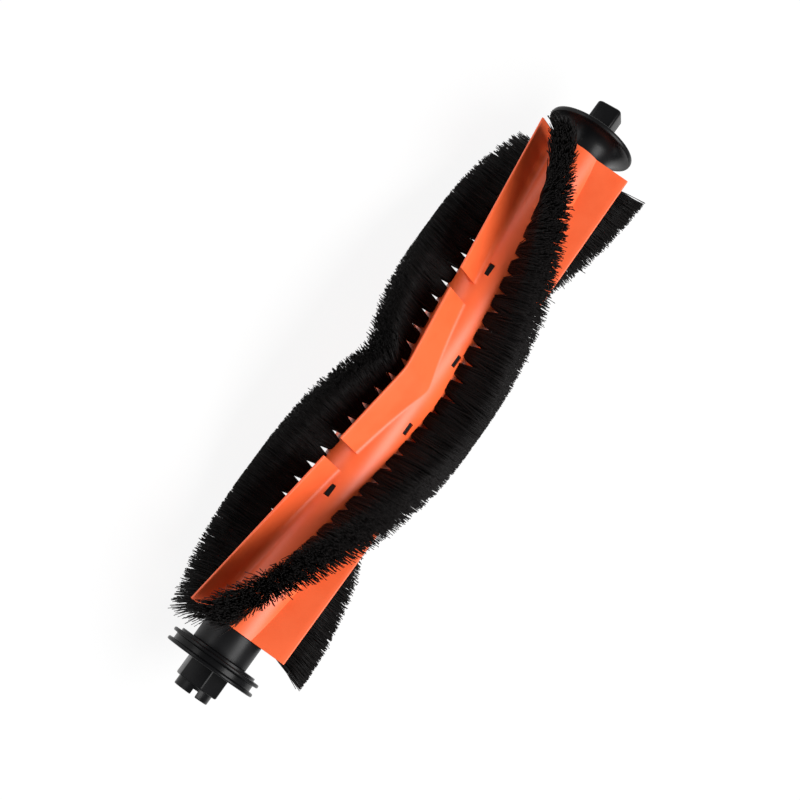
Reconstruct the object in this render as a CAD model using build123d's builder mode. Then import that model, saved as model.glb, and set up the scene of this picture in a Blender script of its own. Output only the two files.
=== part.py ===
"""Roller brush of a robot vacuum: a moulded core with a vaned rubber sleeve, three V rows of
bristle tufts, a hexagonal drive plug at one end and a spinning square bearing block at the other.

The roller's axis is X, from the tip of the drive nose at the origin to the bearing block.
Angles round the axis are measured from +Z towards -Y.
"""

import os
from math import cos, radians, sin, sqrt

from build123d import *

# Lengths along the axis, from the tip of the drive nose
nose_length = 2.2
stub_length = 5.2
flange_width = 3.4
boss_width = 0.7
collar_length = 6.6
sleeve_length = 146.2
flare_start = 0.6
rim_width = 1.2
hub_height = 0.4
block_length = 8.0

# Core, hexagonal under the round sleeve so that the rubber can't turn on it
core_flats = 11.4
collar_radius = 7.55
sleeve_radius = 7.8

# Wiper vanes: V-shaped plates drawn straight out of the sleeve
vane_count = 3
vane_height = 14.4
vane_swing = 5.5
vane_thickness = 1.5
vane_draft = 1.6
vane_bend_radius = 19.0
vane_lag = 3.5
notch_reach = 22.7
notch_width = 5.6

# Windows in the sleeve beside each vane, where lugs of the core stand in the rubber and lock it
window_length = 3.3
window_width = 1.3
lug_recess = 0.2
inner_window_reach = 10.3
inner_window_angle = 77.0
outer_window_reach = 33.5
outer_window_angle = 25.0

# Bristle rows: four-sided tufts, each set in a blind socket of the core
row_count = 3
tufts_per_row = 31
row_end_margin = 3.0
row_sweep = 48.0
socket_width = 3.0
socket_depth = 3.8
bristle_reach = 21.1
tuft_merge_height = 4.4
tuft_merge_width = 3.8
tuft_tip_width = 4.8
tuft_lean = 2.3

# Drive plug
nose_radius = 4.65
nose_slot_width = 1.3
nose_slot_depth = 1.5
nose_slot_angle = -28.0
nose_slot_offset = 0.6
stub_flats = 10.5
stub_angle = -16.5
flange_radius = 12.2
groove_width = 1.6
groove_depth = 1.2
boss_radius = 10.5
spigot_flats = 6.0
spigot_length = 11.5

# Guard disc and free-end bearing
flare_root_radius = 7.3
flare_steps = 3
guard_radius = 12.2
hub_radius = 3.2
pin_radius = 1.5
pin_grip = 17.0
pin_end_room = 0.5
washer_radius = 2.9
washer_thickness = 0.4
bush_radius = 2.5
bush_length = 6.0
block_side = 6.8
block_end_wall = 1.2
block_corner = 1.1
block_edge = 0.8
block_angle = -45.5

# Clearances
fit_gap = 0.03
tuft_gap = 0.06
running_gap = 0.05
end_play = 0.1

# Stations and sizes that follow
flange_x = nose_length + stub_length
boss_x = flange_x + flange_width
collar_x = boss_x + boss_width
sleeve_x = collar_x + collar_length
middle_x = sleeve_x + sleeve_length / 2
sleeve_end_x = sleeve_x + sleeve_length
flare_radius = guard_radius - flare_root_radius
rim_x = sleeve_end_x + flare_start + flare_radius
guard_face_x = rim_x + rim_width
washer_x = guard_face_x + hub_height
block_x = washer_x + washer_thickness + end_play
block_end_x = block_x + block_length
socket_floor = sleeve_radius - socket_depth
half_row = sleeve_length / 2 - row_end_margin
tuft_pitch = 2 * half_row / (tufts_per_row - 1)
hex_sides = 6
hex_turn = 180 / hex_sides
hex_corner = 1 / cos(radians(hex_turn))
spigot_corner = spigot_flats / 2 * hex_corner
spigot_seat_corner = (spigot_flats / 2 + fit_gap) * hex_corner
stub_corner = stub_flats / 2 * hex_corner
core_corner = core_flats / 2 * hex_corner
core_seat_corner = (core_flats / 2 + fit_gap) * hex_corner


def radial_plane(x, radius, angle):
    """Plane at a station and radius that faces straight out from the axis, its x along the axis."""
    outward = Vector(0, -sin(radians(angle)), cos(radians(angle)))
    return Plane(origin=Vector(x, 0, 0) + outward * radius, x_dir=(1, 0, 0), z_dir=outward)


def cross_section(x):
    """Sketch plane across the axis, its x towards the angle zero and its y towards greater angles."""
    return Plane(origin=(x, 0, 0), x_dir=(0, 0, 1), z_dir=(1, 0, 0))


def row_seats(row):
    """Socket floors of one V row, whose tufts lead at the middle of the roller and trail at its ends."""
    mean_angle = row * 360 / row_count
    seats = []
    for index in range(tufts_per_row):
        reach = index * tuft_pitch - half_row
        angle = mean_angle + row_sweep * (1 - 2 * abs(reach) / half_row)
        seats.append(radial_plane(middle_x + reach, socket_floor, angle))
    return seats


def vane_angle(vane):
    """Draw direction of one vane, a little behind the middle between two bristle rows."""
    return (vane - 0.5) * 360 / vane_count - vane_lag


def window_planes(radius):
    """Places at that radius of the four windows in front of each vane."""
    planes = []
    for vane in range(vane_count):
        for side in (-1, 1):
            inner_angle = vane_angle(vane) + inner_window_angle
            outer_angle = vane_angle(vane) + outer_window_angle
            planes.append(radial_plane(middle_x + side * inner_window_reach, radius, inner_angle))
            planes.append(radial_plane(middle_x + side * outer_window_reach, radius, outer_angle))
    return planes


os.makedirs("parts", exist_ok=True)
all_seats = [seat for row in range(row_count) for seat in row_seats(row)]

# Core: a stepped hexagonal tube, with a lug in every window and a blind socket under every tuft
with BuildPart() as core_tube:
    with BuildSketch(cross_section(collar_x)):
        Circle(collar_radius)
    extrude(amount=collar_length)
    with BuildSketch(cross_section(sleeve_x)):
        RegularPolygon(core_corner, hex_sides)
    extrude(amount=sleeve_length)
    with BuildSketch(*window_planes(socket_floor)):
        Rectangle(window_length - 2 * fit_gap, window_width - 2 * fit_gap)
    extrude(amount=socket_depth - lug_recess)
    with BuildSketch(cross_section(collar_x)):
        RegularPolygon(spigot_seat_corner, hex_sides)
    extrude(amount=collar_length + sleeve_length, mode=Mode.SUBTRACT)
    with BuildSketch(*all_seats):
        Rectangle(socket_width, socket_width)
    extrude(amount=socket_depth, mode=Mode.SUBTRACT)
core_tube.part.label = "core_tube"
export_step(core_tube.part, "parts/core_tube.step")


def vane_line(reach):
    """How far behind its draw direction a vane's middle line lies: a V with its point in front."""
    return vane_swing * (4 * abs(reach) / sleeve_length - 1)


def vane_outline(side):
    """Long edge of the V outline on the front (-1) or the back (1) of a vane, past the sleeve's ends."""
    half_length = sleeve_length / 2 + vane_thickness
    shift = side * vane_thickness / 2
    end = vane_line(half_length) + shift
    point = vane_line(0) + shift
    return FilletPolyline((-half_length, end), (0, point), (half_length, end), radius=vane_bend_radius)


# One vane, pointing up: a drafted V plate with two notches, cut off flush with the sleeve's ends
with BuildPart() as one_vane:
    with BuildSketch(radial_plane(middle_x, 0, 0)):
        with BuildLine():
            front_edge = vane_outline(-1)
            back_edge = vane_outline(1)
            Line(front_edge @ 0, back_edge @ 0)
            Line(front_edge @ 1, back_edge @ 1)
        make_face()
    extrude(amount=vane_height, taper=vane_draft)
    with BuildSketch(radial_plane(middle_x, 0, 0)):
        with Locations((-notch_reach - notch_width / 2, 0), (notch_reach + notch_width / 2, 0)):
            Rectangle(notch_width, 2 * sleeve_radius)
    extrude(amount=vane_height, mode=Mode.SUBTRACT)
    with BuildSketch(cross_section(sleeve_x)):
        Circle(vane_height + sleeve_radius)
    extrude(amount=sleeve_length, mode=Mode.INTERSECT)

# Sleeve: a round body with its vanes, bored to fit the core and opened at every tuft and window
with BuildPart() as vane_sleeve:
    with BuildSketch(cross_section(sleeve_x)):
        Circle(sleeve_radius)
    extrude(amount=sleeve_length)
    for vane in range(vane_count):
        add(one_vane.part, rotation=(vane_angle(vane), 0, 0))
    with BuildSketch(cross_section(sleeve_x)):
        RegularPolygon(core_seat_corner, hex_sides)
    extrude(amount=sleeve_length, mode=Mode.SUBTRACT)
    with BuildSketch(*all_seats):
        Rectangle(socket_width, socket_width)
    extrude(amount=2 * socket_depth, mode=Mode.SUBTRACT)
    with BuildSketch(*window_planes(socket_floor)):
        Rectangle(window_length, window_width)
    extrude(amount=2 * socket_depth, mode=Mode.SUBTRACT)
vane_sleeve.part.label = "vane_sleeve"
export_step(vane_sleeve.part, "parts/vane_sleeve.step")


def tuft_profile(merge_width, tip_width, lean, trim_radius):
    """Corners of a tuft seen from one side: straight in its socket, fanning out and leaning above the
    sleeve, up to tips that are cut on a circle about the axis."""
    merge_lean = lean * tuft_merge_height / (bristle_reach - sleeve_radius)
    edges = []
    for side in (1, -1):
        foot = side * tuft_foot / 2
        merge = merge_lean + side * merge_width / 2
        tip = lean + side * tip_width / 2
        edges.append([(foot, 0), (foot, socket_depth), (merge, socket_depth + tuft_merge_height),
                      (tip, sqrt(trim_radius ** 2 - tip ** 2) - socket_floor)])
    return edges[0] + edges[1][::-1]


# One tuft on its socket's floor: a bundle of bristles that fans out above the sleeve and leans forwards
tuft_foot = socket_width - 2 * tuft_gap
tuft_spread = tuft_pitch - 2 * tuft_gap
with BuildPart() as tuft:
    with BuildSketch(Plane.XZ):
        Polygon(*tuft_profile(tuft_spread, tuft_spread, 0, 2 * bristle_reach), align=None)
    extrude(amount=tuft_tip_width, both=True)
    with BuildSketch(Plane.YZ):
        Polygon(*tuft_profile(tuft_merge_width, tuft_tip_width, -tuft_lean, bristle_reach), align=None)
    extrude(amount=tuft_pitch, both=True, mode=Mode.INTERSECT)

# Bristle rows
for row in range(row_count):
    with BuildPart() as bristle_row:
        with Locations(*row_seats(row)):
            add(tuft.part)
    bristle_row.part.label = f"bristle_row_{row + 1}"
    export_step(bristle_row.part, f"parts/bristle_row_{row + 1}.step")

# Drive plug: slotted nose, hexagonal stub, double-rim hair guard and the spigot inside the core
with BuildPart() as drive_coupling:
    with BuildSketch(cross_section(0)):
        Circle(nose_radius)
        with Locations(Rot(0, 0, nose_slot_angle) * Pos(0, nose_slot_offset)):
            Rectangle(3 * nose_radius, nose_slot_width, mode=Mode.SUBTRACT)
    extrude(amount=nose_length)
    with BuildSketch(cross_section(nose_slot_depth)):
        Circle(nose_radius)
    extrude(amount=nose_length - nose_slot_depth)
    with BuildSketch(cross_section(nose_length)):
        RegularPolygon(stub_corner, hex_sides, rotation=stub_angle)
    extrude(amount=stub_length)
    with BuildSketch(Plane.XY):
        with Locations((flange_x + flange_width / 2, flange_radius / 2)):
            Rectangle(flange_width, flange_radius)
        with Locations((flange_x + flange_width / 2, flange_radius)):
            Rectangle(groove_width, 2 * groove_depth, mode=Mode.SUBTRACT)
        with Locations((boss_x + boss_width / 2, boss_radius / 2)):
            Rectangle(boss_width, boss_radius)
    revolve(axis=Axis.X)
    with BuildSketch(cross_section(collar_x)):
        RegularPolygon(spigot_corner, hex_sides)
    extrude(amount=spigot_length)
drive_coupling.part.label = "drive_coupling"
export_step(drive_coupling.part, "parts/drive_coupling.step")


def flare_points():
    """Quarter of a circle from the core's line out to the guard's rim, in a few straight steps."""
    turns = [radians(90 * step / flare_steps) for step in range(flare_steps + 1)]
    return [(rim_x - flare_radius * (1 - sin(turn)), guard_radius - flare_radius * cos(turn)) for turn in turns]


# Guard disc: a trumpet that flares to a thin rim, with a spigot inside the core and a hole for the pin
with BuildPart() as guard_disc:
    with BuildSketch(Plane.XY):
        with BuildLine():
            flare = Polyline(*flare_points())
            Polyline(flare @ 0, (sleeve_end_x, flare_root_radius), (sleeve_end_x, 0), (washer_x, 0),
                     (washer_x, hub_radius), (guard_face_x, hub_radius), (guard_face_x, guard_radius), flare @ 1)
        make_face()
    revolve(axis=Axis.X)
    with BuildSketch(cross_section(sleeve_end_x)):
        RegularPolygon(spigot_corner, hex_sides)
    extrude(amount=-spigot_length)
    with BuildSketch(cross_section(washer_x)):
        Circle(pin_radius + fit_gap)
    extrude(amount=-pin_grip, mode=Mode.SUBTRACT)
guard_disc.part.label = "guard_disc"
export_step(guard_disc.part, "parts/guard_disc.step")

# Axle pin: plain steel pin from the guard disc to just short of the block's end wall
with BuildPart() as axle_pin:
    with BuildSketch(cross_section(washer_x - pin_grip)):
        Circle(pin_radius)
    extrude(amount=pin_grip + block_end_x - block_end_wall - pin_end_room - washer_x)
axle_pin.part.label = "axle_pin"
export_step(axle_pin.part, "parts/axle_pin.step")

# Thrust washer on the guard disc's hub
with BuildPart() as thrust_washer:
    with BuildSketch(cross_section(washer_x)):
        Circle(washer_radius)
        Circle(pin_radius + running_gap, mode=Mode.SUBTRACT)
    extrude(amount=washer_thickness)
thrust_washer.part.label = "thrust_washer"
export_step(thrust_washer.part, "parts/thrust_washer.step")

# Bearing bush, flush with the mouth of the block
with BuildPart() as bearing_bush:
    with BuildSketch(cross_section(block_x)):
        Circle(bush_radius)
        Circle(pin_radius + running_gap, mode=Mode.SUBTRACT)
    extrude(amount=bush_length)
bearing_bush.part.label = "bearing_bush"
export_step(bearing_bush.part, "parts/bearing_bush.step")

# Bearing block: a square cap with eased edges that the machine's pocket holds still
with BuildPart() as bearing_block:
    with BuildSketch(cross_section(block_x)):
        Rectangle(block_side, block_side, rotation=block_angle)
    extrude(amount=block_length)
    chamfer(bearing_block.faces().sort_by(Axis.X)[-1].edges(), block_edge)
    with BuildSketch(cross_section(block_x)):
        RectangleRounded(block_side, block_side, block_corner, rotation=block_angle)
    extrude(amount=block_length, mode=Mode.INTERSECT)
    with BuildSketch(cross_section(block_x)):
        Circle(bush_radius + fit_gap)
    extrude(amount=block_length - block_end_wall, mode=Mode.SUBTRACT)
bearing_block.part.label = "bearing_block"
export_step(bearing_block.part, "parts/bearing_block.step")
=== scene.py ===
from math import cos, pi, radians, sin, tan

import bmesh
import bpy
import numpy as np
from mathutils import Matrix, Vector


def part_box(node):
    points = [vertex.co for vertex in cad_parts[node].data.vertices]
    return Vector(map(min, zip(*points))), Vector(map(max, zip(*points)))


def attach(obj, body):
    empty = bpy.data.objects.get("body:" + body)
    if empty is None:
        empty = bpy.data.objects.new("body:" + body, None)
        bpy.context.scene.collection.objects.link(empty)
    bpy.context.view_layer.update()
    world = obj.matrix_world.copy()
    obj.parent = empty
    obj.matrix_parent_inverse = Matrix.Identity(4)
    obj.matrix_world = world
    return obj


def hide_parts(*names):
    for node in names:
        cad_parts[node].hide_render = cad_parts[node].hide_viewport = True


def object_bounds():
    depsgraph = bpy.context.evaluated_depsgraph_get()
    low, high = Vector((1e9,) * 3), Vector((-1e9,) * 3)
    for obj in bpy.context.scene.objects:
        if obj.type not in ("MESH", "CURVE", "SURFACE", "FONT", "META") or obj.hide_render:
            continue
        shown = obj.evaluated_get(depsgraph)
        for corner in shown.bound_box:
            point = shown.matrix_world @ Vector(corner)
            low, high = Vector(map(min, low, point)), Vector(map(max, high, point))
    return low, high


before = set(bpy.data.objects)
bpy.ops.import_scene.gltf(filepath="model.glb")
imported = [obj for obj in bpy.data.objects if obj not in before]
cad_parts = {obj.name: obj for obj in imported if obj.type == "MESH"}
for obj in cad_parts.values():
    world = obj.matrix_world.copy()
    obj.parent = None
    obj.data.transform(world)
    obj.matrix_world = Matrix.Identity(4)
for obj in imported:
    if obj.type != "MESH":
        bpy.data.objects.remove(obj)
cad_low, cad_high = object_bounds()
mm = 0.001

# Core: the black moulded tube that carries the rubber, the tufts and both end plugs. It shows as the
# plain collar beside the drive plug, and its lugs, which lock the rubber, show in the sleeve's windows.
core_low, core_high = (np.array(corner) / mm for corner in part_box("core_tube"))
sleeve_low, sleeve_high = (np.array(corner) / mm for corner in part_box("vane_sleeve"))
collar_radius = core_high[2]
collar_ease = 0.25
core_flats = 11.4
core_ease = 0.5
shaft_sink = 0.5
collar_bore_radius = 3.5
hex_corner = 1 / cos(pi / 6)
middle_x = (sleeve_high[0] + sleeve_low[0]) / 2
vane_count = 3
first_vane_angle = -63.5
inner_window = (10.3, 77.0)
outer_window = (33.5, 25.0)
lug_half_length = 1.62
lug_half_width = 0.62
lug_corner = 0.4
lug_root = 5.0
lug_top = 7.6
lug_ease = 0.15
core_black = (0.0045, 0.0045, 0.005, 1.0)
worn_tone = 1.7


def eased(corners, cut, steps=5):
    """Closed outline whose corner C becomes (1-t)^2 A + 2t(1-t) C + t^2 B for t from 0 to 1, where A
    and B lie one cut length from C along its two sides. One cut serves all corners, or each has its own."""
    corners = np.asarray(corners, float)
    cut = np.broadcast_to(np.asarray(cut, float), len(corners))[:, None]
    before = np.roll(corners, 1, axis=0) - corners
    after = np.roll(corners, -1, axis=0) - corners
    start = corners + cut * before / np.linalg.norm(before, axis=1, keepdims=True)
    end = corners + cut * after / np.linalg.norm(after, axis=1, keepdims=True)
    t = np.linspace(0, 1, steps)[None, :, None]
    rounds = (1 - t) ** 2 * start[:, None] + 2 * t * (1 - t) * corners[:, None] + t ** 2 * end[:, None]
    return rounds.reshape(-1, 2)


def wrapped_quads(rows, columns, close_rows):
    """Quads of a grid that closes on itself along its columns, and along its rows if asked."""
    row, column = np.meshgrid(np.arange(rows - (not close_rows)), np.arange(columns), indexing="ij")
    next_row = (row + 1) % rows
    next_column = (column + 1) % columns
    corners = (row * columns + column, row * columns + next_column,
               next_row * columns + next_column, next_row * columns + column)
    return np.stack(corners, axis=-1).reshape(-1, 4)


def turned(profile, turns=128):
    """Surface of revolution about X: the point (x, r) of a closed profile goes to (x, -r sin a, r cos a)
    at each turn a. The profile runs towards +X on its outer side."""
    profile = np.asarray(profile, float)
    angle = 2 * pi * np.arange(turns) / turns
    x, radius = profile[:, :1], profile[:, 1:]
    grid = np.stack([x + 0 * angle, -radius * np.sin(angle), radius * np.cos(angle)], axis=-1)
    return grid.reshape(-1, 3), wrapped_quads(len(profile), turns, True).tolist()


def carried(outline, stations, scales):
    """Outline of (up, round) points carried along X: at each station it is scaled about its middle, and
    a fan of triangles from the middle closes the first and the last ring."""
    outline = np.asarray(outline, float)
    stations, scales = np.asarray(stations, float), np.asarray(scales, float)
    middle = outline.mean(axis=0)
    rings = middle + scales[:, None, None] * (outline - middle)
    x = np.broadcast_to(stations[:, None], rings.shape[:2])
    points = np.stack([x, -rings[..., 1], rings[..., 0]], axis=-1).reshape(-1, 3)
    poles = [(stations[0], -middle[1], middle[0]), (stations[-1], -middle[1], middle[0])]
    count, last = len(outline), len(points) - len(outline)
    side = np.arange(count)
    follow = (side + 1) % count
    first_fan = np.stack([np.full(count, len(points)), follow, side], axis=-1)
    last_fan = np.stack([np.full(count, len(points) + 1), last + side, last + follow], axis=-1)
    faces = wrapped_quads(len(stations), count, False).tolist() + first_fan.tolist() + last_fan.tolist()
    return np.concatenate([points, poles]), faces


def hexagon(flats, turn=0.0):
    """Corners of a hexagon of that width across flats, at every sixth of a turn. The first lies at the
    given turn from straight up."""
    angle = radians(turn) + pi / 3 * np.arange(6)
    return flats / 2 * hex_corner * np.stack([np.cos(angle), np.sin(angle)], axis=-1)


def window_lug(x, angle):
    """One lug: a slip of the core with round corners that stands out from the axis at a station and an
    angle. It is carried along X like any outline, then stood up, so that (x, y, z) goes to (z, -y, x)."""
    corners = np.array([(-1, -1), (1, -1), (1, 1), (-1, 1)]) * (lug_half_length, lug_half_width)
    stations = (lug_root, lug_top - lug_ease, lug_top)
    points, faces = carried(eased(corners, lug_corner), stations, (1.0, 1.0, 1 - lug_ease / lug_half_length))
    along, across, out = points[:, 2], -points[:, 1], points[:, 0]
    sine, cosine = sin(radians(angle)), cos(radians(angle))
    stood = np.stack([x + along, -out * sine - across * cosine, out * cosine - across * sine], axis=-1)
    return stood, faces


def made(name, surfaces, finish, sharp_degrees=35.0):
    """One object from several closed surfaces in millimetres, welded at seams and poles, smooth except
    where two faces meet at more than the sharp angle."""
    starts = np.cumsum([0] + [len(points) for points, _ in surfaces])
    points = np.concatenate([points for points, _ in surfaces]) * mm
    faces = [[index + start for index in face]
             for (_, part), start in zip(surfaces, starts) for face in part]
    mesh = bpy.data.meshes.new(name)
    mesh.from_pydata(points.tolist(), [], faces)
    work = bmesh.new()
    work.from_mesh(mesh)
    bmesh.ops.remove_doubles(work, verts=work.verts, dist=1e-7)
    work.to_mesh(mesh)
    work.free()
    mesh.polygons.foreach_set("use_smooth", np.ones(len(mesh.polygons), bool))
    mesh.set_sharp_from_angle(angle=radians(sharp_degrees))
    mesh.materials.append(finish)
    shape = bpy.data.objects.new(name, mesh)
    bpy.context.scene.collection.objects.link(shape)
    return shape


def moulded_plastic(name, colour, smooth, rough, shine, grain_depth):
    """Black moulded plastic: a fine grain bumps the surface, and slow cloudy wear moves its roughness."""
    finish = bpy.data.materials.new(name)
    finish.use_nodes = True
    nodes, links = finish.node_tree.nodes, finish.node_tree.links
    shader = nodes["Principled BSDF"]
    place = nodes.new("ShaderNodeTexCoord")
    wear = nodes.new("ShaderNodeTexNoise")
    wear.inputs["Scale"].default_value = 160.0
    wear.inputs["Detail"].default_value = 4.0
    spread = nodes.new("ShaderNodeMapRange")
    spread.inputs["From Min"].default_value = 0.3
    spread.inputs["From Max"].default_value = 0.7
    spread.inputs["To Min"].default_value = smooth
    spread.inputs["To Max"].default_value = rough
    grain = nodes.new("ShaderNodeTexNoise")
    grain.inputs["Scale"].default_value = 2600.0
    grain.inputs["Detail"].default_value = 2.0
    bump = nodes.new("ShaderNodeBump")
    bump.inputs["Strength"].default_value = 0.5
    bump.inputs["Distance"].default_value = grain_depth * mm
    tone = nodes.new("ShaderNodeMix")
    tone.data_type = "RGBA"
    tone.inputs["A"].default_value = colour
    tone.inputs["B"].default_value = tuple(worn_tone * part for part in colour[:3]) + (1.0,)
    links.new(place.outputs["Object"], wear.inputs["Vector"])
    links.new(place.outputs["Object"], grain.inputs["Vector"])
    links.new(wear.outputs["Fac"], spread.inputs["Value"])
    links.new(spread.outputs["Result"], shader.inputs["Roughness"])
    links.new(wear.outputs["Fac"], tone.inputs["Factor"])
    links.new(tone.outputs["Result"], shader.inputs["Base Color"])
    links.new(grain.outputs["Fac"], bump.inputs["Height"])
    links.new(bump.outputs["Normal"], shader.inputs["Normal"])
    shader.inputs["IOR"].default_value = 1.5
    shader.inputs["Specular IOR Level"].default_value = shine
    return finish


core_finish = moulded_plastic("satin_black_core", core_black, 0.32, 0.46, 0.18, 0.012)
collar_profile = eased([(core_low[0], collar_bore_radius), (core_low[0], collar_radius),
                        (sleeve_low[0], collar_radius), (sleeve_low[0], collar_bore_radius)], collar_ease)
shaft_ends = (sleeve_low[0] - shaft_sink, core_high[0])
core_shaft = carried(eased(hexagon(core_flats), core_ease), shaft_ends, (1.0, 1.0))
lugs = [window_lug(middle_x + side * place, first_vane_angle + 360 / vane_count * vane + angle)
        for vane in range(vane_count) for side in (-1, 1) for place, angle in (inner_window, outer_window)]
core = made("core_with_collar", [turned(collar_profile), core_shaft] + lugs, core_finish)
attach(core, "roller")
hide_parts("core_tube")

# Sleeve: soft orange rubber moulded over the core in one piece with three V-shaped wiper vanes. A vane
# meets the sleeve in a wide hollow round in front and in a crease behind, and two notches part it in three.
sleeve_radius = 7.8
sleeve_bore_radius = 5.72
half_sleeve = (sleeve_high[0] - sleeve_low[0]) / 2
vane_height = 14.4
vane_swing = 5.5
vane_bend = 1.42
vane_thickness = 1.5
vane_draft = radians(1.6)
front_draft = radians(7.0)
vane_round = 1.8
vane_tip_round = 0.3
notch_start = 22.7
notch_end = 28.3
window_half_length = 1.65
window_half_width = 0.65
window_hold = 0.4
window_ease = 4.0
sleeve_stations = 151
station_gap = 0.35
notch_gap = 0.2
skin_blend = 0.1
face_steps = 7
tip_steps = 6
round_steps = 9
skin_steps = 38
rubber_orange = (0.96, 0.138, 0.036, 1.0)
rubber_deep = (0.9, 0.108, 0.022, 1.0)


def vane_lead(reach):
    """How far a vane's middle line runs ahead of its draw direction: a V whose point leads, softened there
    as a hyperbola, so |x| becomes the square root of x^2 + bend^2."""
    return vane_swing * (1 - 2 * np.sqrt(reach ** 2 + vane_bend ** 2) / half_sleeve)


def vane_section(reach):
    """One vane in the plane across the axis, as (out, round) points from the crease behind it, up its back,
    over the tip, down its front and through the hollow round. Each face leans in by its own draft angle, and
    the round is an arc about a centre that lies its radius off the front face and off the sleeve."""
    lead = vane_lead(reach)[:, None]
    half_root = vane_thickness / 2
    lean = tan(vane_draft)
    top = vane_height - vane_tip_round
    crease_out = np.sqrt(sleeve_radius ** 2 - lead ** 2)
    crease_round = lead - half_root + crease_out * lean
    crease_out = np.sqrt(sleeve_radius ** 2 - crease_round ** 2)
    rise = np.linspace(0, 1, face_steps)[None, :]
    back_out = crease_out + rise * (top - crease_out)
    back_round = lead - half_root + back_out * lean
    tip = np.linspace(0, pi, tip_steps + 2)[None, 1:-1]
    tip_out = top + vane_tip_round * np.sin(tip) + 0 * lead
    tip_round = lead - (half_root - top * lean) * np.cos(tip)
    front_lean = tan(front_draft)
    front_root = half_root + top * (front_lean - lean)
    offset = lead + front_root + vane_round / cos(front_draft)
    reach_out = sleeve_radius + vane_round
    square = 1 + front_lean ** 2
    half_sum = offset * front_lean
    centre_out = (half_sum + np.sqrt(half_sum ** 2 - square * (offset ** 2 - reach_out ** 2))) / square
    centre_round = offset - centre_out * front_lean
    foot_out = centre_out - vane_round * sin(front_draft)
    front_out = top + rise * (foot_out - top)
    front_round = lead + front_root - front_out * front_lean
    start = np.arctan2(-cos(front_draft), -sin(front_draft))
    end = np.arctan2(centre_round, centre_out) - pi
    sweep = start + np.linspace(0, 1, round_steps + 1)[None, 1:] * (end - start)
    hollow_out = centre_out + vane_round * np.cos(sweep)
    hollow_round = centre_round + vane_round * np.sin(sweep)
    out = np.concatenate([back_out, tip_out, front_out, hollow_out], axis=1)
    turn = np.concatenate([back_round, tip_round, front_round, hollow_round], axis=1)
    return np.stack([out, turn], axis=-1)


def held_reach(reach):
    """Reach along the roller that stands still across each window, so that a window's sides run straight."""
    hold, ease = window_half_length + window_hold, window_ease
    knots, values = [0.0], [0.0]
    for place in (inner_window[0], outer_window[0]):
        knots += [place - ease, place - hold, place + hold, place + ease]
        values += [place - ease, place, place, place + ease]
    return np.sign(reach) * np.interp(np.abs(reach), knots + [half_sleeve], values + [half_sleeve])


def section_angles(reach):
    """Angles of a vane's crease and of the end of its hollow round, from its draw direction."""
    ends = vane_section(reach)[:, [0, -1]]
    angle = np.arctan2(ends[..., 1], ends[..., 0])
    return angle[:, :1], angle[:, 1:]


def skin_angles(reach):
    """Angles of the sleeve's plain skin from one vane's hollow round to the next vane's crease, evenly
    spread, and shifted in the middle of the skin to stand still across the windows."""
    share = np.linspace(0, 1, skin_steps + 2)[None, 1:-1]
    crease, round_end = section_angles(reach)
    own = round_end + share * (crease + 2 * pi / vane_count - round_end)
    crease, round_end = section_angles(held_reach(reach))
    still = round_end + share * (crease + 2 * pi / vane_count - round_end)
    weight = np.clip(np.minimum(share, 1 - share) / skin_blend, 0, 1)
    return own + weight * (still - own)


def sleeve_rows():
    """Stations along the sleeve, about a millimetre apart and on every window edge. The stations on the
    notch edges come twice, with the vanes and without, so that the notch walls stand straight."""
    windows = np.array([inner_window[0], outer_window[0]])
    edges = np.concatenate([windows - window_half_length, windows + window_half_length])
    fixed = np.concatenate([edges, -edges])
    even = np.linspace(-half_sleeve, half_sleeve, sleeve_stations)
    apart = np.abs(even[:, None] - fixed[None, :]).min(axis=1) > station_gap
    stations = np.sort(np.concatenate([even[apart], fixed]))
    limits = (-half_sleeve, -notch_end, -notch_start, notch_start, notch_end, half_sleeve)
    reach, stands = [], []
    for part, (low, high) in enumerate(zip(limits[:-1], limits[1:])):
        inside = stations[(stations > low + notch_gap) & (stations < high - notch_gap)]
        reach.append(np.concatenate([[low], inside, [high]]))
        stands.append(np.full(len(inside) + 2, part % 2 == 0))
    return np.concatenate(reach), np.concatenate(stands)


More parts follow.
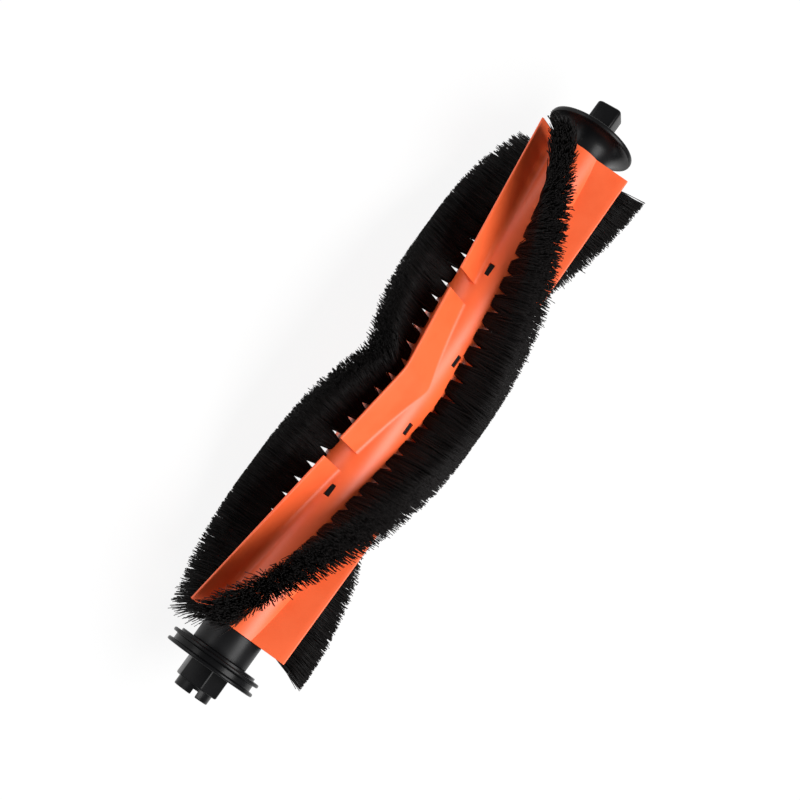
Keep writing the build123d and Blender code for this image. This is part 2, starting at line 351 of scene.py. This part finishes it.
def pierced_sleeve():
    """Closed shell of two grids with the same rows and columns: the outer skin with its vanes and the bore.
    Faces inside a window are left out of both, and walls join the grids round the windows and at the ends."""
    reach, stands = sleeve_rows()
    vane = vane_section(reach)
    crease, round_end = section_angles(reach)
    share = np.linspace(0, 1, vane.shape[1])[None, :]
    flat_angle = crease + share * (round_end - crease)
    flat = sleeve_radius * np.stack([np.cos(flat_angle), np.sin(flat_angle)], axis=-1)
    vane = np.where(stands[:, None, None], vane, flat)
    skin_angle = skin_angles(reach)
    skin = sleeve_radius * np.stack([np.cos(skin_angle), np.sin(skin_angle)], axis=-1)
    third = np.concatenate([vane, skin], axis=1)
    bore_angle = np.concatenate([flat_angle, skin_angle], axis=1)
    bore = sleeve_bore_radius * np.stack([np.cos(bore_angle), np.sin(bore_angle)], axis=-1)
    turns = np.radians(first_vane_angle + 360 / vane_count * np.arange(vane_count))[None, :, None]
    grids = []
    for part in (third, bore):
        out, turn = part[:, None, :, 0], part[:, None, :, 1]
        y = -out * np.sin(turns) - turn * np.cos(turns)
        z = out * np.cos(turns) - turn * np.sin(turns)
        x = np.broadcast_to((middle_x + reach)[:, None, None], y.shape)
        grids.append(np.stack([x, y, z], axis=-1).reshape(len(reach), -1, 3))
    rows, columns = grids[0].shape[:2]
    open_face = np.zeros((rows - 1, vane_count, third.shape[1]), bool)
    between = (reach[:-1] + reach[1:]) / 2
    column_angle = np.degrees(bore_angle)
    column_middle = (column_angle + np.roll(column_angle, -1, axis=1)) / 2
    for place, angle in (inner_window, outer_window):
        half_angle = np.degrees(window_half_width / sleeve_radius)
        along = np.abs(np.abs(between) - place) < window_half_length
        across = np.abs(column_middle[np.abs(reach - place).argmin()] - angle) < half_angle
        open_face |= (along[:, None] & across[None, :])[:, None, :]
    open_face = open_face.reshape(rows - 1, columns)
    row, column = np.meshgrid(np.arange(rows - 1), np.arange(columns), indexing="ij")
    follow = (column + 1) % columns
    inner = rows * columns
    outer_quads = np.stack([row * columns + column, row * columns + follow,
                            (row + 1) * columns + follow, (row + 1) * columns + column], axis=-1)
    bore_quads = outer_quads[..., ::-1] + inner
    walls = []
    for row_step, column_step, a, b in ((-1, 0, 0, 1), (1, 0, 2, 3), (0, 1, 1, 2), (0, -1, 3, 0)):
        beside = np.roll(open_face, -column_step, axis=1)
        if row_step:
            beside = np.ones_like(open_face)
            if row_step < 0:
                beside[1:] = open_face[:-1]
            else:
                beside[:-1] = open_face[1:]
        edge = ~open_face & beside
        first, second = outer_quads[edge][:, a], outer_quads[edge][:, b]
        walls.append(np.stack([second, first, first + inner, second + inner], axis=-1))
    faces = np.concatenate([outer_quads[~open_face], bore_quads[~open_face]] + walls)
    return np.concatenate([grid.reshape(-1, 3) for grid in grids]), faces.tolist()


def soft_rubber(name):
    """Orange rubber: slow clouds move its colour and its roughness, and a fine moulded grain bumps it."""
    finish = bpy.data.materials.new(name)
    finish.use_nodes = True
    nodes, links = finish.node_tree.nodes, finish.node_tree.links
    shader = nodes["Principled BSDF"]
    place = nodes.new("ShaderNodeTexCoord")
    cloud = nodes.new("ShaderNodeTexNoise")
    cloud.inputs["Scale"].default_value = 90.0
    cloud.inputs["Detail"].default_value = 5.0
    cloud.inputs["Roughness"].default_value = 0.6
    tone = nodes.new("ShaderNodeMix")
    tone.data_type = "RGBA"
    tone.inputs["A"].default_value = rubber_deep
    tone.inputs["B"].default_value = rubber_orange
    lift = nodes.new("ShaderNodeMapRange")
    lift.inputs["From Min"].default_value = 0.2
    lift.inputs["From Max"].default_value = 0.55
    spread = nodes.new("ShaderNodeMapRange")
    spread.inputs["To Min"].default_value = 0.36
    spread.inputs["To Max"].default_value = 0.5
    grain = nodes.new("ShaderNodeTexNoise")
    grain.inputs["Scale"].default_value = 3200.0
    grain.inputs["Detail"].default_value = 2.0
    bump = nodes.new("ShaderNodeBump")
    bump.inputs["Strength"].default_value = 0.6
    bump.inputs["Distance"].default_value = 0.02 * mm
    links.new(place.outputs["Object"], cloud.inputs["Vector"])
    links.new(place.outputs["Object"], grain.inputs["Vector"])
    links.new(cloud.outputs["Fac"], lift.inputs["Value"])
    links.new(lift.outputs["Result"], tone.inputs["Factor"])
    links.new(tone.outputs["Result"], shader.inputs["Base Color"])
    links.new(cloud.outputs["Fac"], spread.inputs["Value"])
    links.new(spread.outputs["Result"], shader.inputs["Roughness"])
    links.new(grain.outputs["Fac"], bump.inputs["Height"])
    links.new(bump.outputs["Normal"], shader.inputs["Normal"])
    shader.inputs["IOR"].default_value = 1.47
    shader.inputs["Specular IOR Level"].default_value = 0.58
    return finish


rubber = soft_rubber("orange_rubber_skin")
sleeve = made("rubber_sleeve", [pierced_sleeve()], rubber, 30.0)
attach(sleeve, "roller")
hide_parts("vane_sleeve")

# Bristle rows: three V rows of black nylon tufts. Each tuft is a bundle of single bristles stapled into
# its socket, which fans out above the rubber until it meets its neighbours, and is cut to one reach.
row_count = 3
tufts_per_row = 31
bristles_per_tuft = 312
row_end_margin = 3.0
row_sweep = 48.0
bundle_half = 1.45
bristle_radius = 0.11
radius_spread = 0.15
tip_trim = 0.15
bristle_root = 7.3
bristle_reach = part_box("bristle_row_1")[1].z / mm - tip_trim
drive_half_merge = 5.2
free_half_merge = 8.4
tip_half_along = 2.8
tip_half_across = 4.0
clumps_along = 7
clumps_across = 9
clump_pull = 0.3
clump_lean = 0.3
bristle_lean = 0.36
stray_share = 0.22
stray_lean = 0.85
trim_spread = 0.22
drive_half_shift = (1.0, 0.0, 1.0)
drive_half_lean = (2.6, 0.5, 2.3)
drive_half_fan = (0.12, 0.0, 0.0)
free_half_lean = 2.3
half_blend_tufts = 3.0
drive_end_lean = (-2.2, 0.0, 0.0)
free_end_lean = (-3.4, 0.0, 0.0)
drive_end_fan = (0.2, 0.0, 0.4)
drive_end_splay = (3.0, 2.4, 5.2)
free_end_splay = (-0.4, 1.0, 2.2)
splay_tufts = 2.0
bristle_seed = 20
nylon_black = (0.0034, 0.0027, 0.0027, 1.0)
nylon_grey = (0.009, 0.0076, 0.0074, 1.0)
bristle_stations = np.array([0.0, 0.3, 0.64, 1.0])


def squared(u, v):
    """Points of the unit disc spread over a square: along is half the difference of two roots, of
    2 + u^2 - v^2 plus and minus 2 u times the root of 2, and across is the same with u and v exchanged."""
    twice = 2 * 2 ** 0.5
    gap = u ** 2 - v ** 2
    along = np.sqrt(np.maximum(2 + gap + twice * u, 0)) - np.sqrt(np.maximum(2 + gap - twice * u, 0))
    across = np.sqrt(np.maximum(2 - gap + twice * v, 0)) - np.sqrt(np.maximum(2 - gap - twice * v, 0))
    return along / 2, across / 2


def bristle_row(row):
    """Every bristle of one row as a three-sided rod with a blunt tip. A tuft's bristles lie on a sunflower
    spiral spread over the square of its socket. Along the row a bristle reaches its place in the tuft's
    wider end at the merge height of its half, and across the row at its tip, so that the row closes above
    small gaps. Clumps draw together, stray bristles lean out, each half of a row has its own lean, side shift
    and fan, and the tufts at its ends splay. Leans grow with the square of the height, all keep to the slant
    of the row, and the tips end on the cylinder of the brush's reach."""
    random = np.random.default_rng(bristle_seed + row)
    share = np.linspace(-1, 1, tufts_per_row)
    half_row = half_sleeve - row_end_margin
    seat_x = middle_x + share * half_row
    seat_angle = np.radians(row * 360 / row_count + row_sweep * (1 - 2 * np.abs(share)))
    slant = -np.sign(share) * radians(2 * row_sweep) / half_row
    shape = (tufts_per_row, bristles_per_tuft)
    number = np.arange(bristles_per_tuft) + 0.5
    spiral_radius = np.sqrt(number / bristles_per_tuft)
    spiral_angle = number * pi * (3 - 5 ** 0.5) + random.uniform(0, 2 * pi, (tufts_per_row, 1))
    end_along, end_across = squared(spiral_radius * np.cos(spiral_angle),
                                    spiral_radius * np.sin(spiral_angle))
    clump_column = np.clip(((end_along + 1) / 2 * clumps_along).astype(int), 0, clumps_along - 1)
    clump_line = np.clip(((end_across + 1) / 2 * clumps_across).astype(int), 0, clumps_across - 1)
    tuft = np.arange(tufts_per_row)[:, None]
    clump_shift = random.normal(0, clump_lean, (2, tufts_per_row, clumps_along, clumps_across))
    shift_along = clump_shift[0, tuft, clump_column, clump_line]
    shift_across = clump_shift[1, tuft, clump_column, clump_line]
    pull_along = clump_pull * ((2 * clump_column + 1) / clumps_along - 1 - end_along) * tip_half_along
    pull_across = clump_pull * ((2 * clump_line + 1) / clumps_across - 1 - end_across) * tip_half_across
    stray = random.uniform(0, 1, shape) < stray_share
    spread = np.where(stray, stray_lean, bristle_lean)
    place = share[:, None] * (tufts_per_row - 1) / 2 + end_along / 2
    drive_end = np.exp(-(tufts_per_row / 2 + place) / splay_tufts)
    free_end = np.exp(-(tufts_per_row / 2 - place) / splay_tufts)
    splay = free_end_splay[row] * free_end - drive_end_splay[row] * drive_end
    drive_half = np.clip(0.5 - place / half_blend_tufts, 0, 1)
    half_lean = free_half_lean + drive_half * (drive_half_lean[row] - free_half_lean)
    row_lean = half_lean + free_end_lean[row] * free_end + drive_end_lean[row] * drive_end
    fan = drive_half_fan[row] * drive_half + drive_end_fan[row] * drive_end
    tip_across = tip_half_across * (1 + fan)
    merge_height = free_half_merge + drive_half * (drive_half_merge - free_half_merge)
    merge_out = merge_height[..., None] + sleeve_radius - bristle_root
    side_shift = drive_half_shift[row] * drive_half
    lean_along = splay + shift_along + pull_along + spread * random.normal(0, 1, shape)
    lean_across = row_lean + shift_across + pull_across + spread * random.normal(0, 1, shape)
    across_tip = side_shift + tip_across * end_across + lean_across
    cut = bristle_reach - np.abs(random.normal(0, trim_spread, shape))
    tip_out = np.sqrt(cut ** 2 - across_tip ** 2)
    out = bristle_root + bristle_stations * (tip_out[..., None] - bristle_root)
    rise = (out - bristle_root) / (tip_out[..., None] - bristle_root)
    merge = np.clip((out - bristle_root) / merge_out, 0, 1)
    along = (bundle_half + merge * (tip_half_along - bundle_half)) * end_along[..., None]
    across = (bundle_half + rise * (tip_across[..., None] - bundle_half)) * end_across[..., None]
    along = along + lean_along[..., None] * rise ** 2
    across = across + side_shift[..., None] + lean_across[..., None] * rise ** 2
    corner = 2 * pi / 3 * np.arange(3) + random.uniform(0, 2 * pi, shape)[..., None]
    radius = bristle_radius * random.uniform(1 - radius_spread, 1 + radius_spread, shape)[..., None, None]
    ring_along = along[..., None] + radius * np.cos(corner)[:, :, None, :]
    ring_across = across[..., None] + radius * np.sin(corner)[:, :, None, :]
    ring_out = np.broadcast_to(out[..., None], ring_along.shape)
    angle = seat_angle[:, None, None, None] + slant[:, None, None, None] * along[..., None]
    x = seat_x[:, None, None, None] + ring_along
    y = -ring_out * np.sin(angle) - ring_across * np.cos(angle)
    z = ring_out * np.cos(angle) - ring_across * np.sin(angle)
    points = np.stack([x, y, z], axis=-1).reshape(-1, 3)
    levels = len(bristle_stations)
    start = 3 * levels * np.arange(tufts_per_row * bristles_per_tuft)[:, None, None]
    sides = start + wrapped_quads(levels, 3, False)[None]
    root = start[:, 0] + np.array([[2, 1, 0]])
    tip = start[:, 0] + 3 * (levels - 1) + np.array([[0, 1, 2]])
    shade = np.repeat(random.uniform(0, 1, shape).reshape(-1), 3 * levels)
    return points, sides.reshape(-1, 4).tolist() + root.tolist() + tip.tolist(), shade


def black_nylon(name):
    """Black nylon: each bristle has its own depth of black, from its shade attribute, and a soft sheen."""
    finish = bpy.data.materials.new(name)
    finish.use_nodes = True
    nodes, links = finish.node_tree.nodes, finish.node_tree.links
    shader = nodes["Principled BSDF"]
    shade = nodes.new("ShaderNodeAttribute")
    shade.attribute_name = "shade"
    tone = nodes.new("ShaderNodeMix")
    tone.data_type = "RGBA"
    tone.inputs["A"].default_value = nylon_black
    tone.inputs["B"].default_value = nylon_grey
    spread = nodes.new("ShaderNodeMapRange")
    spread.inputs["To Min"].default_value = 0.4
    spread.inputs["To Max"].default_value = 0.65
    links.new(shade.outputs["Fac"], tone.inputs["Factor"])
    links.new(tone.outputs["Result"], shader.inputs["Base Color"])
    links.new(shade.outputs["Fac"], spread.inputs["Value"])
    links.new(spread.outputs["Result"], shader.inputs["Roughness"])
    shader.inputs["IOR"].default_value = 1.5
    shader.inputs["Specular IOR Level"].default_value = 0.14
    return finish


nylon = black_nylon("black_nylon_bristle")
for row in range(row_count):
    points, faces, shade = bristle_row(row)
    mesh = bpy.data.meshes.new(f"bristles_{row + 1}")
    mesh.from_pydata((points * mm).tolist(), [], faces)
    mesh.attributes.new("shade", "FLOAT", "POINT").data.foreach_set("value", shade.astype(np.float32))
    mesh.polygons.foreach_set("use_smooth", np.ones(len(mesh.polygons), bool))
    mesh.materials.append(nylon)
    bristles = bpy.data.objects.new(f"bristles_{row + 1}", mesh)
    bpy.context.scene.collection.objects.link(bristles)
    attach(bristles, "roller")
    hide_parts(f"bristle_row_{row + 1}")

# Drive plug: one black moulding pressed into the core's end. A double-rimmed disc keeps hair off, a
# hexagonal stub takes the drive, and its round nose has a slot across it.
drive_high = np.array(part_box("drive_coupling")[1]) / mm
nose_length = 2.2
nose_radius = 4.65
nose_slot_width = 1.3
nose_slot_offset = 0.6
nose_slot_depth = 1.5
nose_slot_angle = -28.0
stub_flats = 10.5
stub_turn = -16.5
flange_x = 7.4
flange_radius = drive_high[2]
boss_x = 10.8
boss_radius = 10.5
groove_half = 0.8
groove_depth = 1.2
plug_bore = 2.0
spigot_flats = 6.0
spigot_ease = 0.2
spigot_sink = 0.2
stub_ease = 0.5
stub_edge = 0.4
stub_sink = 0.2
nose_edge = 0.25
nose_sink = 0.3
nose_steps = 96
slot_sink = 0.1
end_black = (0.003, 0.003, 0.0034, 1.0)


def nose_part(side):
    """Part of the slotted nose: the arc of the nose's circle on one side of the slot, closed by the slot's
    wall and turned to the slot's angle."""
    limit = np.arccos((nose_slot_width / 2 + side * nose_slot_offset) / nose_radius)
    angle = np.linspace(-limit, limit, 41)
    arc = nose_radius * np.stack([side * np.sin(-angle), side * np.cos(angle)], axis=-1)
    turn = radians(nose_slot_angle)
    spin = np.array([[cos(turn), sin(turn)], [-sin(turn), cos(turn)]])
    return arc @ spin


def round_over(start, end, ease, half_width, steps=5):
    """Stations and scales of a carried outline whose first edge is rounded over a quarter circle."""
    turn = np.linspace(0, pi / 2, steps)
    stations = np.concatenate([start + ease * (1 - np.cos(turn)), [end]])
    scales = np.concatenate([1 - ease / half_width * (1 - np.sin(turn)), [1.0]])
    return stations, scales


end_finish = moulded_plastic("gloss_black_end", end_black, 0.24, 0.36, 0.14, 0.008)
flange_middle = (flange_x + boss_x) / 2
flange_profile = eased([(flange_x, plug_bore), (flange_x, flange_radius),
                        (flange_middle - groove_half, flange_radius),
                        (flange_middle - groove_half, flange_radius - groove_depth),
                        (flange_middle + groove_half, flange_radius - groove_depth),
                        (flange_middle + groove_half, flange_radius), (boss_x, flange_radius),
                        (boss_x, boss_radius), (core_low[0], boss_radius), (core_low[0], plug_bore)],
                       [0.1, 0.4, 0.4, 0.3, 0.3, 0.4, 0.4, 0.15, 0.15, 0.1])
stub_outline = eased(hexagon(stub_flats, stub_turn), stub_ease)
circle = 2 * pi * np.arange(nose_steps) / nose_steps
nose_outline = nose_radius * np.stack([np.cos(circle), np.sin(circle)], axis=-1)
spigot_outline = eased(hexagon(spigot_flats), spigot_ease)
nose_rounding = round_over(0.0, nose_slot_depth + slot_sink, nose_edge, nose_radius / 2)
plug_surfaces = [
    turned(flange_profile),
    carried(stub_outline, *round_over(nose_length, flange_x + stub_sink, stub_edge, stub_flats / 2)),
    carried(nose_outline, (nose_slot_depth, nose_length + nose_sink), (1.0, 1.0)),
    carried(nose_part(1), *nose_rounding),
    carried(nose_part(-1), *nose_rounding),
    carried(spigot_outline, (core_low[0] - spigot_sink, drive_high[0]), (1.0, 1.0)),
]
drive_plug = made("drive_plug", plug_surfaces, end_finish)
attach(drive_plug, "roller")
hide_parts("drive_coupling")

# Guard disc: the black end plug at the free side. It flares like a trumpet from the core out to a thin
# rim that keeps hair off the bearing.
guard_low, guard_high = (np.array(corner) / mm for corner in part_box("guard_disc"))
flare_root = 7.3
guard_radius = guard_high[2]
guard_rim_x = 169.8
guard_face_x = 171.0
hub_radius = 3.2
pin_hole_radius = 1.53
rim_flatness = 0.5
hub_foot = 0.2
hub_edge = 0.1


def guard_profile():
    """Closed (x, r) profile: up the root, out along a quarter circle to the rim, over the rounded rim, down
    the flat outer face to the low hub, and back along the pin's hole."""
    flare_radius = guard_radius - flare_root
    turn = np.linspace(0, pi / 2, 25)
    flare = np.stack([guard_rim_x - flare_radius * (1 - np.sin(turn)),
                      guard_radius - flare_radius * np.cos(turn)], axis=-1)
    half_rim = (guard_face_x - guard_rim_x) / 2
    over = np.linspace(0, pi, 11)[1:-1]
    rim = np.stack([guard_rim_x + half_rim * (1 - np.cos(over)),
                    guard_radius - half_rim * rim_flatness * (1 - np.sin(over))], axis=-1)
    flare[:, 1] -= half_rim * rim_flatness * (flare[:, 1] - flare_root) / flare_radius
    root = [(sleeve_high[0], pin_hole_radius), (sleeve_high[0], flare_root)]
    face = [(guard_face_x, guard_radius - half_rim * rim_flatness),
            (guard_face_x, hub_radius + hub_foot),
            (guard_face_x + hub_foot, hub_radius), (guard_high[0] - hub_edge, hub_radius),
            (guard_high[0], hub_radius - hub_edge), (guard_high[0], pin_hole_radius)]
    return np.concatenate([root, flare, rim, face])


guard_spigot = carried(spigot_outline, (guard_low[0], sleeve_high[0] + spigot_sink), (1.0, 1.0))
guard_finish = moulded_plastic("gloss_black_guard", end_black, 0.28, 0.4, 0.2, 0.006)
guard = made("flared_guard", [turned(guard_profile(), 160), guard_spigot], guard_finish)
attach(guard, "roller")
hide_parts("guard_disc")

# Bearing block: a square black cap with rounded edges. The machine's pocket holds it still while the
# roller turns in the bush inside it.
block_low, block_high = (np.array(corner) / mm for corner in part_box("bearing_block"))
block_half = 3.4
block_corner = 1.2
block_turn = -45.5
block_edge = 0.8
block_mouth_edge = 0.2
block_steps = 7
block_angle = radians(block_turn + 45) + pi / 2 * np.arange(4)
block_corners = block_half * 2 ** 0.5 * np.stack([np.cos(block_angle), np.sin(block_angle)], axis=-1)
block_outline = eased(block_corners, block_corner, block_steps)
near, near_scale = round_over(block_low[0], block_high[0], block_mouth_edge, block_half)
far, far_scale = round_over(0.0, block_high[0] - block_low[0], block_edge, block_half, block_steps)
block_stations = np.concatenate([near[:-1], (block_high[0] - far)[::-1][1:]])
block_scales = np.concatenate([near_scale[:-1], far_scale[::-1][1:]])
block = made("end_block", [carried(block_outline, block_stations, block_scales)], end_finish)
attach(block, "bearing")
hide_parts("bearing_block")

# Inner bearing pieces: a drawn steel pin, a sintered bronze bush and a white thrust washer, all hidden
# between the guard disc and the block. Their solids stay, each with its own finish.
streak_tone = 0.8


def bearing_metal(name, colour, metallic, roughness, streak):
    """Plain bearing material: fine streaks along the axis move its colour a little."""
    finish = bpy.data.materials.new(name)
    finish.use_nodes = True
    nodes, links = finish.node_tree.nodes, finish.node_tree.links
    shader = nodes["Principled BSDF"]
    place = nodes.new("ShaderNodeTexCoord")
    stretch = nodes.new("ShaderNodeMapping")
    stretch.inputs["Scale"].default_value = (streak, 1.0, 1.0)
    noise = nodes.new("ShaderNodeTexNoise")
    noise.inputs["Scale"].default_value = 900.0
    tone = nodes.new("ShaderNodeMix")
    tone.data_type = "RGBA"
    tone.inputs["A"].default_value = colour
    tone.inputs["B"].default_value = tuple(streak_tone * part for part in colour[:3]) + (1.0,)
    links.new(place.outputs["Object"], stretch.inputs["Vector"])
    links.new(stretch.outputs["Vector"], noise.inputs["Vector"])
    links.new(noise.outputs["Fac"], tone.inputs["Factor"])
    links.new(tone.outputs["Result"], shader.inputs["Base Color"])
    shader.inputs["Metallic"].default_value = metallic
    shader.inputs["Roughness"].default_value = roughness
    return finish


inner_finishes = {
    "axle_pin": bearing_metal("drawn_steel", (0.6, 0.6, 0.62, 1.0), 1.0, 0.28, 0.1),
    "bearing_bush": bearing_metal("sintered_bronze", (0.5, 0.31, 0.14, 1.0), 1.0, 0.45, 1.0),
    "thrust_washer": bearing_metal("white_washer", (0.78, 0.77, 0.73, 1.0), 0.0, 0.5, 1.0),
}
for node, finish in inner_finishes.items():
    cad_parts[node].data.materials.clear()
    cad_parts[node].data.materials.append(finish)

# Studio: a white floor under the roller, a soft box on each side of the camera and even light all round.
# The camera stands where the photograph was taken from.
camera_place = np.array([15.055, 184.68, 344.34])
camera_target = np.array([86.645, 0.381, -0.207])
camera_roll = radians(54.153)
camera_lens = 72.73
floor_half = 3.0
floor_white = (0.9, 0.9, 0.9, 1.0)
paper_roughness = 0.9
paper_white_share = 0.9
world_strength = 0.27
# Angle of each soft box round the roller, its distance, length and width in metres, and its power
softboxes = {
    "softbox_low": (-80.0, 0.5, 0.6, 0.18, 0.8),
    "softbox_high": (20.0, 0.6, 0.6, 0.32, 5.2),
}

floor_corners = floor_half * np.array([(-1, -1), (1, -1), (1, 1), (-1, 1)])
floor_points = np.column_stack([floor_corners, np.full(4, cad_low.z)])
floor_mesh = bpy.data.meshes.new("floor")
floor_mesh.from_pydata(floor_points.tolist(), [], [(0, 1, 2, 3)])
floor = bpy.data.objects.new("floor", floor_mesh)
bpy.context.scene.collection.objects.link(floor)
paper = bpy.data.materials.new("white_paper")
paper.use_nodes = True
paper_nodes, paper_links = paper.node_tree.nodes, paper.node_tree.links
paper_nodes["Principled BSDF"].inputs["Base Color"].default_value = floor_white
paper_nodes["Principled BSDF"].inputs["Roughness"].default_value = paper_roughness
paper_glow = paper_nodes.new("ShaderNodeEmission")
paper_ray = paper_nodes.new("ShaderNodeLightPath")
paper_share = paper_nodes.new("ShaderNodeMath")
paper_share.operation = "MULTIPLY"
paper_share.inputs[1].default_value = paper_white_share
paper_seen = paper_nodes.new("ShaderNodeMath")
paper_seen.operation = "MAXIMUM"
paper_clear = paper_nodes.new("ShaderNodeMath")
paper_clear.operation = "MAXIMUM"
paper_mix = paper_nodes.new("ShaderNodeMixShader")
paper_links.new(paper_ray.outputs["Is Camera Ray"], paper_seen.inputs[0])
paper_links.new(paper_ray.outputs["Is Glossy Ray"], paper_seen.inputs[1])
paper_links.new(paper_seen.outputs["Value"], paper_clear.inputs[0])
paper_links.new(paper_ray.outputs["Is Transmission Ray"], paper_clear.inputs[1])
paper_links.new(paper_clear.outputs["Value"], paper_share.inputs[0])
paper_links.new(paper_share.outputs["Value"], paper_mix.inputs["Fac"])
paper_links.new(paper_nodes["Principled BSDF"].outputs["BSDF"], paper_mix.inputs[1])
paper_links.new(paper_glow.outputs["Emission"], paper_mix.inputs[2])
paper_links.new(paper_mix.outputs["Shader"], paper_nodes["Material Output"].inputs["Surface"])
floor_mesh.materials.append(paper)

for name, (angle, distance, length, width, power) in softboxes.items():
    lamp = bpy.data.lights.new(name, "AREA")
    lamp.shape = "RECTANGLE"
    lamp.size = length
    lamp.size_y = width
    lamp.energy = power
    box = bpy.data.objects.new(name, lamp)
    bpy.context.scene.collection.objects.link(box)
    towards = Vector((0, -sin(radians(angle)), cos(radians(angle))))
    sideways = towards.cross(Vector((1, 0, 0)))
    face = Matrix((Vector((1, 0, 0)), sideways, towards)).transposed().to_4x4()
    box.matrix_world = Matrix.Translation(Vector((middle_x * mm, 0, 0)) + towards * distance) @ face

world = bpy.data.worlds.new("studio")
world.use_nodes = True
world.node_tree.nodes["Background"].inputs["Color"].default_value = (1.0, 1.0, 1.0, 1.0)
world.node_tree.nodes["Background"].inputs["Strength"].default_value = world_strength
bpy.context.scene.world = world
bpy.context.scene.view_settings.view_transform = "Standard"

lens = bpy.data.cameras.new("camera")
lens.sensor_width = 36.0
lens.lens = camera_lens
lens.clip_start = 0.01
camera = bpy.data.objects.new("camera", lens)
bpy.context.scene.collection.objects.link(camera)
ahead = (camera_target - camera_place) / np.linalg.norm(camera_target - camera_place)
right = np.array([1.0, 0.0, 0.0]) - ahead[0] * ahead
right = right / np.linalg.norm(right)
down = np.cross(ahead, right)
image_x = cos(camera_roll) * right + sin(camera_roll) * down
image_down = -sin(camera_roll) * right + cos(camera_roll) * down
turn = Matrix(np.stack([image_x, -image_down, -ahead], axis=1).tolist()).to_4x4()
camera.matrix_world = Matrix.Translation(Vector(camera_place * mm)) @ turn
bpy.context.scene.camera = camera
